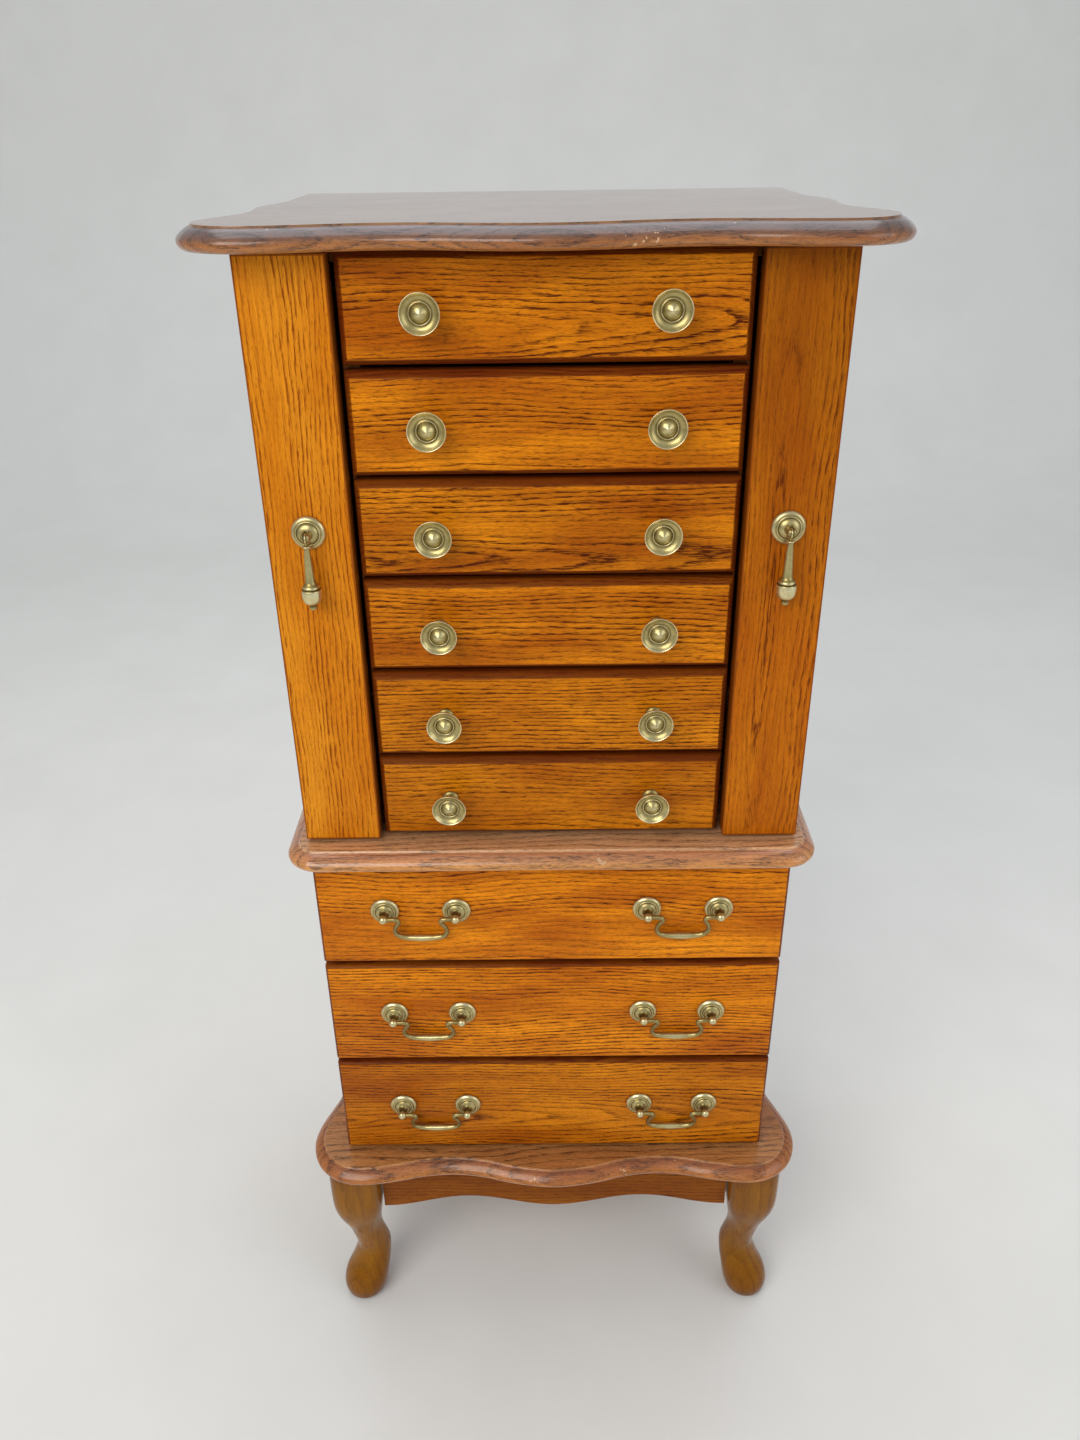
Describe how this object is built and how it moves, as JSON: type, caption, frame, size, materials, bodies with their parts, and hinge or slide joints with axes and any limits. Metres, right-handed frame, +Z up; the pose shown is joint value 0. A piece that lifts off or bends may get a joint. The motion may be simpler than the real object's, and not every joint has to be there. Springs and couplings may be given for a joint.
{
  "type": "jewelry armoire",
  "caption": "Oak jewelry armoire on cabriole legs: lift-up lid with mirror, swing-out side doors, shallow drawers with round knobs above deep drawers with swinging bail pulls.",
  "frame": {"origin": "on the floor, centred under the outer box of the closed armoire", "axes": "+X to the right as seen from the front, -Y towards the front, +Z up"},
  "size_m": [0.4956, 0.338, 1.0868],
  "materials": {
    "oak": "honey-orange stained oak with dark open grain, satin lacquer",
    "moulded_oak": "darker brown stained oak boards with a worn satin lacquer",
    "leg_wood": "close-grained hardwood stained golden brown, glossy lacquer",
    "case_wood": "plain stained inner case wood, matt",
    "antique_brass": "antique brass with dark recesses and rubbed high spots",
    "mirror_glass": "plain silvered mirror",
    "velvet": "wine-red velvet lining"
  },
  "bodies": {
    "case": {"leg_front_left": "leg_wood", "leg_front_right": "leg_wood", "leg_back_left": "leg_wood", "leg_back_right": "leg_wood", "apron_front": "oak", "apron_back": "oak", "apron_left": "oak", "apron_right": "oak", "base_board": "moulded_oak", "lower_side_left": "oak", "lower_side_right": "oak", "lower_back": "case_wood", "waist_board": "moulded_oak", "upper_wall_left": "case_wood", "upper_wall_right": "case_wood", "upper_back": "case_wood", "tray_front": "oak", "tray": "case_wood", "ring_cushion": "velvet", "knob_tray_front_left": "antique_brass", "knob_tray_front_right": "antique_brass", "lid_hinge_left": "antique_brass", "lid_hinge_right": "antique_brass"},
    "lid": {"lid_board": "moulded_oak", "mirror_frame": "oak", "mirror": "mirror_glass"},
    "door_left": {"door_stile_left": "oak", "door_panel_left": "oak", "door_hinge_left": "antique_brass", "rosette_left": "antique_brass"},
    "door_right": {"door_stile_right": "oak", "door_panel_right": "oak", "door_hinge_right": "antique_brass", "rosette_right": "antique_brass"},
    "drop_left": {"pendant_left": "antique_brass"},
    "drop_right": {"pendant_right": "antique_brass"},
    "small_drawer_1": {"small_drawer_1": "oak", "knob_small_drawer_1_left": "antique_brass", "knob_small_drawer_1_right": "antique_brass"},
    "small_drawer_2": {"small_drawer_2": "oak", "knob_small_drawer_2_left": "antique_brass", "knob_small_drawer_2_right": "antique_brass"},
    "small_drawer_3": {"small_drawer_3": "oak", "knob_small_drawer_3_left": "antique_brass", "knob_small_drawer_3_right": "antique_brass"},
    "small_drawer_4": {"small_drawer_4": "oak", "knob_small_drawer_4_left": "antique_brass", "knob_small_drawer_4_right": "antique_brass"},
    "small_drawer_5": {"small_drawer_5": "oak", "knob_small_drawer_5_left": "antique_brass", "knob_small_drawer_5_right": "antique_brass"},
    "large_drawer_1": {"large_drawer_1": "oak"},
    "large_drawer_2": {"large_drawer_2": "oak"},
    "large_drawer_3": {"large_drawer_3": "oak"},
    "bail_1_left": {"bail_1_left": "antique_brass"},
    "bail_1_right": {"bail_1_right": "antique_brass"},
    "bail_2_left": {"bail_2_left": "antique_brass"},
    "bail_2_right": {"bail_2_right": "antique_brass"},
    "bail_3_left": {"bail_3_left": "antique_brass"},
    "bail_3_right": {"bail_3_right": "antique_brass"}
  },
  "joints": [
    {"name": "lid_hinge", "type": "hinge", "parent": "case", "child": "lid", "pos_m": [0, 0.1635, 1.0672], "axis": [-1, 0, 0], "range_deg": [0, 95]},
    {"name": "door_left_hinge", "type": "hinge", "parent": "case", "child": "door_left", "pos_m": [-0.2128, 0.14725, 0.8338], "axis": [0, 0, -1], "range_deg": [0, 100]},
    {"name": "door_right_hinge", "type": "hinge", "parent": "case", "child": "door_right", "pos_m": [0.2128, 0.14725, 0.8338], "axis": [0, 0, 1], "range_deg": [0, 100]},
    {"name": "small_drawer_1_slide", "type": "slide", "parent": "case", "child": "small_drawer_1", "axis": [0, -1, 0], "range_m": [0, 0.19]},
    {"name": "small_drawer_2_slide", "type": "slide", "parent": "case", "child": "small_drawer_2", "axis": [0, -1, 0], "range_m": [0, 0.19]},
    {"name": "small_drawer_3_slide", "type": "slide", "parent": "case", "child": "small_drawer_3", "axis": [0, -1, 0], "range_m": [0, 0.19]},
    {"name": "small_drawer_4_slide", "type": "slide", "parent": "case", "child": "small_drawer_4", "axis": [0, -1, 0], "range_m": [0, 0.19]},
    {"name": "small_drawer_5_slide", "type": "slide", "parent": "case", "child": "small_drawer_5", "axis": [0, -1, 0], "range_m": [0, 0.19]},
    {"name": "large_drawer_1_slide", "type": "slide", "parent": "case", "child": "large_drawer_1", "axis": [0, -1, 0], "range_m": [0, 0.2]},
    {"name": "large_drawer_2_slide", "type": "slide", "parent": "case", "child": "large_drawer_2", "axis": [0, -1, 0], "range_m": [0, 0.2]},
    {"name": "large_drawer_3_slide", "type": "slide", "parent": "case", "child": "large_drawer_3", "axis": [0, -1, 0], "range_m": [0, 0.2]},
    {"name": "drop_left_swing", "type": "hinge", "parent": "door_left", "child": "drop_left", "pos_m": [-0.1785, -0.1436, 0.875], "axis": [-1, 0, 0], "range_deg": [0, 85]},
    {"name": "drop_right_swing", "type": "hinge", "parent": "door_right", "child": "drop_right", "pos_m": [0.1785, -0.1436, 0.875], "axis": [-1, 0, 0], "range_deg": [0, 85]},
    {"name": "bail_1_left_swing", "type": "hinge", "parent": "large_drawer_1", "child": "bail_1_left", "pos_m": [-0.117, -0.145, 0.5224], "axis": [-1, 0, 0], "range_deg": [0, 109]},
    {"name": "bail_1_right_swing", "type": "hinge", "parent": "large_drawer_1", "child": "bail_1_right", "pos_m": [0.117, -0.145, 0.5224], "axis": [-1, 0, 0], "range_deg": [0, 109]},
    {"name": "bail_2_left_swing", "type": "hinge", "parent": "large_drawer_2", "child": "bail_2_left", "pos_m": [-0.117, -0.145, 0.4014], "axis": [-1, 0, 0], "range_deg": [0, 109]},
    {"name": "bail_2_right_swing", "type": "hinge", "parent": "large_drawer_2", "child": "bail_2_right", "pos_m": [0.117, -0.145, 0.4014], "axis": [-1, 0, 0], "range_deg": [0, 109]},
    {"name": "bail_3_left_swing", "type": "hinge", "parent": "large_drawer_3", "child": "bail_3_left", "pos_m": [-0.117, -0.145, 0.2804], "axis": [-1, 0, 0], "range_deg": [0, 109]},
    {"name": "bail_3_right_swing", "type": "hinge", "parent": "large_drawer_3", "child": "bail_3_right", "pos_m": [0.117, -0.145, 0.2804], "axis": [-1, 0, 0], "range_deg": [0, 109]}
  ]
}
